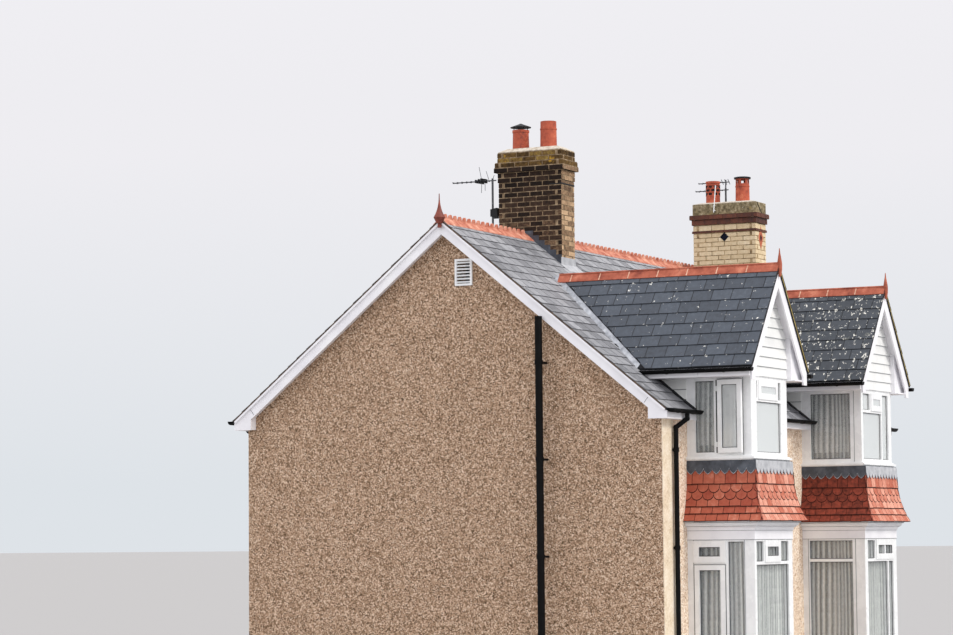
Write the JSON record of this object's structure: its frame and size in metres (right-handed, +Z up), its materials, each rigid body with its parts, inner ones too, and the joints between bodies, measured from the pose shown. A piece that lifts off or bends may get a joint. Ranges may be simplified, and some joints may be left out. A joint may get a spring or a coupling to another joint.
{
  "type": "terraced house row",
  "caption": "Short row of bay-fronted terraced houses under one slate roof, with tile-hung square bays, boarded front gablets, end gables and brick chimney stacks.",
  "frame": {"origin": "on the ground at the middle of the footprint, under the party wall between the houses", "axes": "+X along the street from the left gable to the right one, +Y from the street front towards the back, +Z up"},
  "size_m": [9.658, 8.0429, 8.9482],
  "materials": {
    "pebbledash_gable": "rough",
    "pebbledash_front": "rough",
    "smooth_render": "matte",
    "floor_concrete": "matte",
    "floor_boards": "matte",
    "main_slate": "satin",
    "gablet_slate": "satin",
    "terracotta": "matte",
    "clay_tile": "matte",
    "finial_clay": "matte",
    "white_board": "satin",
    "white_frame": "gloss",
    "black_plastic": "satin",
    "brown_brick": "rough",
    "cream_brick": "rough",
    "pot_clay": "matte",
    "cowl_metal": "matte",
    "aerial_metal": "matte",
    "lead": "matte",
    "window_glass": "clear",
    "door_paint": "satin"
  },
  "bodies": {
    "root": {"left_gable_wall": "pebbledash_gable", "right_gable_wall": "pebbledash_gable", "party_wall": "smooth_render", "front_wall_left": "pebbledash_front", "front_wall_right": "pebbledash_front", "back_wall_left": "pebbledash_gable", "back_wall_right": "pebbledash_gable", "ground_floors": "floor_concrete", "upper_floors": "floor_boards", "front_roof": "main_slate", "back_roof": "main_slate", "main_ridge": "terracotta", "gable_finials": "finial_clay", "left_bargeboards": "white_board", "right_bargeboards": "white_board", "eaves_boards": "white_board", "eaves_gutters": "black_plastic", "downpipes": "black_plastic", "gable_vent": "white_frame", "soil_pipe": "black_plastic", "corner_strip": "smooth_render", "left_chimney": "brown_brick", "right_chimney": "cream_brick", "chimney_pots": "pot_clay", "pot_cowls": "cowl_metal", "aerials": "aerial_metal", "bay_wall_left": "pebbledash_front", "bay_wall_right": "pebbledash_front", "ground_window_left": "white_frame", "ground_window_right": "white_frame", "bay_cornices": "white_board", "tile_skirt_left": "clay_tile", "tile_skirt_right": "clay_tile", "lead_aprons": "lead", "upper_window_left": "white_frame", "upper_window_right": "white_frame", "open_casement": "white_frame", "bay_glass_left": "window_glass", "bay_glass_right": "window_glass", "gablet_roof_left": "gablet_slate", "gablet_roof_right": "gablet_slate", "gablet_ridges": "terracotta", "gablet_bargeboards": "white_board", "gablet_boarding": "white_board", "gablet_eaves": "white_board", "doors": "door_paint", "wall_windows": "white_frame"}
  },
  "joints": []
}
